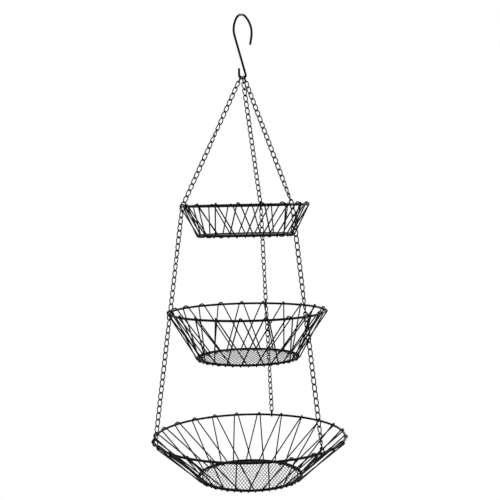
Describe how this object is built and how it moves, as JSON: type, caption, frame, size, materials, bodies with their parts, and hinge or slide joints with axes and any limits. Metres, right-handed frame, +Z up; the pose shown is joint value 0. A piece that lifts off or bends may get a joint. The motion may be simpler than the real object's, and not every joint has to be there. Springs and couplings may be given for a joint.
{
  "type": "hanging fruit basket",
  "caption": "Tiered hanging wire basket: round open baskets of growing size, strung under one another on chains from an S-shaped hook.",
  "frame": {"origin": "inside top of the S-hook's upper bend, where a ceiling hook carries it", "axes": "+Z up; -Y is the front; the S-hook lies in the XZ plane and its upper mouth opens towards +X"},
  "size_m": [0.338, 0.338, 0.797],
  "materials": {
    "hook_steel": "satin black",
    "black_chain": "satin black",
    "black_wire": "semi-gloss black powder coat",
    "net_wire": "matte dark grey"
  },
  "bodies": {
    "hook": {"s_hook": "hook_steel"},
    "top_tier": {"hook_end_links": "black_chain", "left_chain_upper": "black_chain", "rear_chain_upper": "black_chain", "right_chain_upper": "black_chain", "top_rim": "black_wire", "top_base_ring": "black_wire", "top_rim_joining_links": "black_chain", "top_side_wires_front": "black_wire", "top_side_wires_right": "black_wire", "top_side_wires_left": "black_wire", "top_floor_net": "net_wire"},
    "middle_rear_chain": {"rear_chain_middle": "black_chain"},
    "middle_left_chain": {"left_chain_middle": "black_chain"},
    "middle_right_chain": {"right_chain_middle": "black_chain"},
    "middle_tier": {"middle_rim": "black_wire", "middle_base_ring": "black_wire", "middle_rim_joining_links": "black_chain", "middle_side_wires_front": "black_wire", "middle_side_wires_right": "black_wire", "middle_side_wires_left": "black_wire", "middle_floor_net": "net_wire"},
    "lower_rear_chain": {"rear_chain_lower": "black_chain"},
    "lower_left_chain": {"left_chain_lower": "black_chain"},
    "lower_right_chain": {"right_chain_lower": "black_chain"},
    "bottom_tier": {"bottom_rim": "black_wire", "bottom_base_ring": "black_wire", "bottom_rim_joining_links": "black_chain", "bottom_side_wires_front": "black_wire", "bottom_side_wires_right": "black_wire", "bottom_side_wires_left": "black_wire", "bottom_floor_net": "net_wire"}
  },
  "joints": [
    {"name": "hook_swing", "type": "hinge", "parent": "hook", "child": "top_tier", "pos_m": [0, 0, -0.10023], "axis": [0, 1, 0], "range_deg": [-12, 12]},
    {"name": "middle_sway", "type": "hinge", "parent": "top_tier", "child": "middle_rear_chain", "pos_m": [0.02847, 0.10627, -0.32758], "axis": [0, 1, 0], "range_deg": [-7, 7]},
    {"name": "middle_left_chain_swing", "type": "hinge", "parent": "top_tier", "child": "middle_left_chain", "pos_m": [-0.10627, -0.02847, -0.32758], "axis": [0, 1, 0], "range_deg": [-7, 7]},
    {"name": "middle_right_chain_swing", "type": "hinge", "parent": "top_tier", "child": "middle_right_chain", "pos_m": [0.07779, -0.07779, -0.32758], "axis": [0, 1, 0], "range_deg": [-7, 7]},
    {"name": "middle_tier_level", "type": "hinge", "parent": "middle_rear_chain", "child": "middle_tier", "pos_m": [0.03461, 0.12915, -0.49811], "axis": [0, 1, 0], "range_deg": [-5.8, 5.8]},
    {"name": "lower_sway", "type": "hinge", "parent": "middle_tier", "child": "lower_rear_chain", "pos_m": [0.03509, 0.13095, -0.51024], "axis": [0, 1, 0], "range_deg": [-7, 7]},
    {"name": "lower_left_chain_swing", "type": "hinge", "parent": "middle_tier", "child": "lower_left_chain", "pos_m": [-0.13095, -0.03509, -0.51024], "axis": [0, 1, 0], "range_deg": [-7, 7]},
    {"name": "lower_right_chain_swing", "type": "hinge", "parent": "middle_tier", "child": "lower_right_chain", "pos_m": [0.09587, -0.09587, -0.51024], "axis": [0, 1, 0], "range_deg": [-7, 7]},
    {"name": "bottom_tier_level", "type": "hinge", "parent": "lower_rear_chain", "child": "bottom_tier", "pos_m": [0.04243, 0.15836, -0.71446], "axis": [0, 1, 0], "range_deg": [-5.8, 5.8]}
  ],
  "couplings": [
    {"joint": "middle_left_chain_swing", "follows": "middle_sway", "ratio": 1},
    {"joint": "middle_right_chain_swing", "follows": "middle_sway", "ratio": 1},
    {"joint": "middle_tier_level", "follows": "middle_sway", "ratio": -0.8228},
    {"joint": "lower_left_chain_swing", "follows": "lower_sway", "ratio": 1},
    {"joint": "lower_right_chain_swing", "follows": "lower_sway", "ratio": 1},
    {"joint": "bottom_tier_level", "follows": "lower_sway", "ratio": -0.827}
  ]
}
